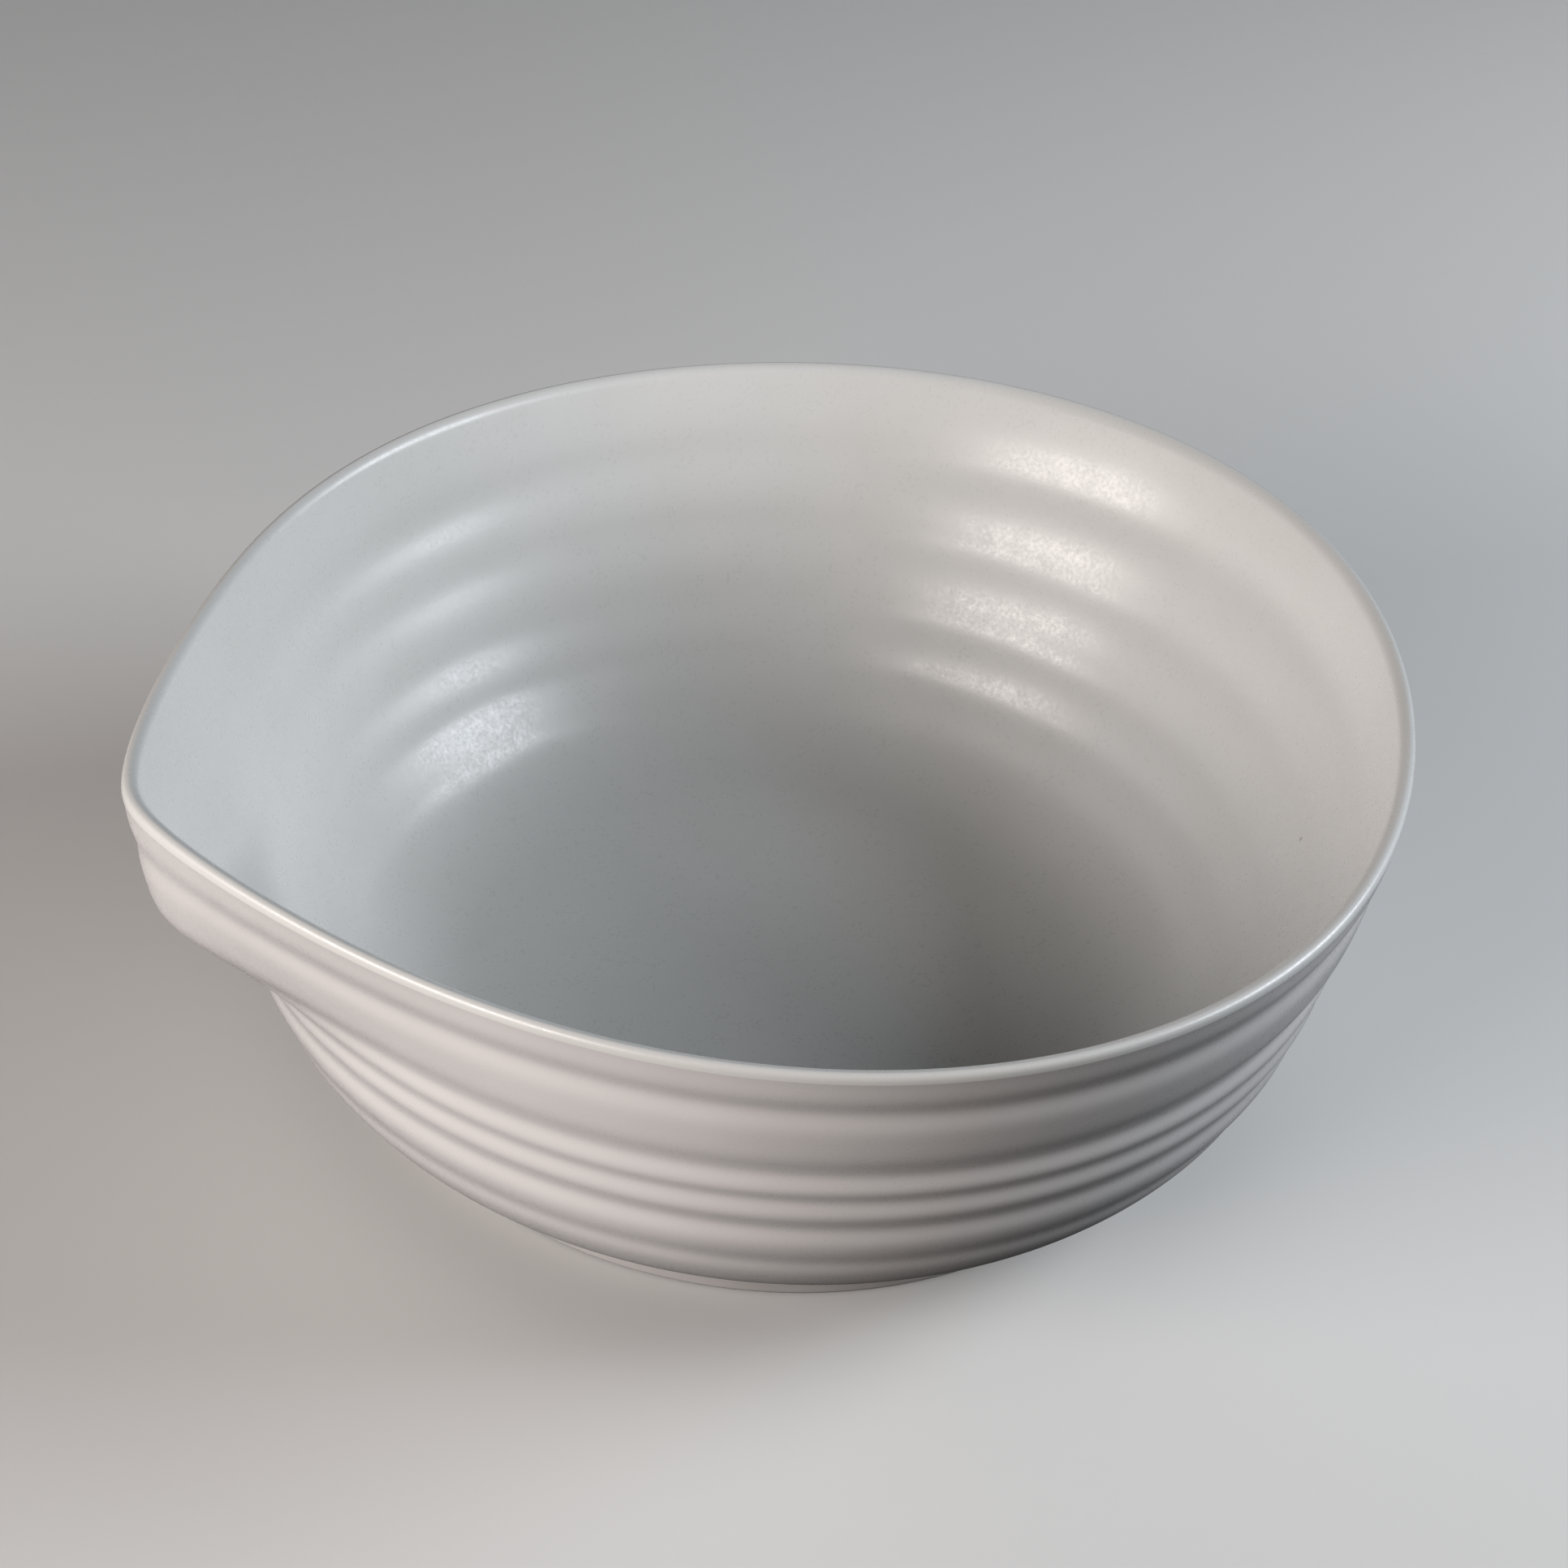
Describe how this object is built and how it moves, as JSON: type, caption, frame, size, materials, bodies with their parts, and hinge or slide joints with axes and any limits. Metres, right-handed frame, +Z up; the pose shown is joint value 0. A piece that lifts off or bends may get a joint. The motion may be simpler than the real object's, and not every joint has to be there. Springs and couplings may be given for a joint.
{
  "type": "yarn bowl",
  "caption": "Wheel-thrown white porcelain bowl with soft throwing rings and a pulled pouring lip, standing on a turned foot ring.",
  "frame": {"origin": "centre of the foot ring's resting face, on the table plane", "axes": "+Z up out of the bowl's mouth, -X towards the pouring lip, +Y to the left of someone looking along +X"},
  "size_m": [0.197, 0.1834, 0.0674],
  "materials": {
    "porcelain": "matte",
    "bare_foot": "matte",
    "inner_glaze": "satin",
    "outer_glaze": "satin"
  },
  "bodies": {
    "root": {"clay_body": "porcelain", "foot_ring": "bare_foot", "inner_glaze": "inner_glaze", "outer_glaze": "outer_glaze"}
  },
  "joints": []
}
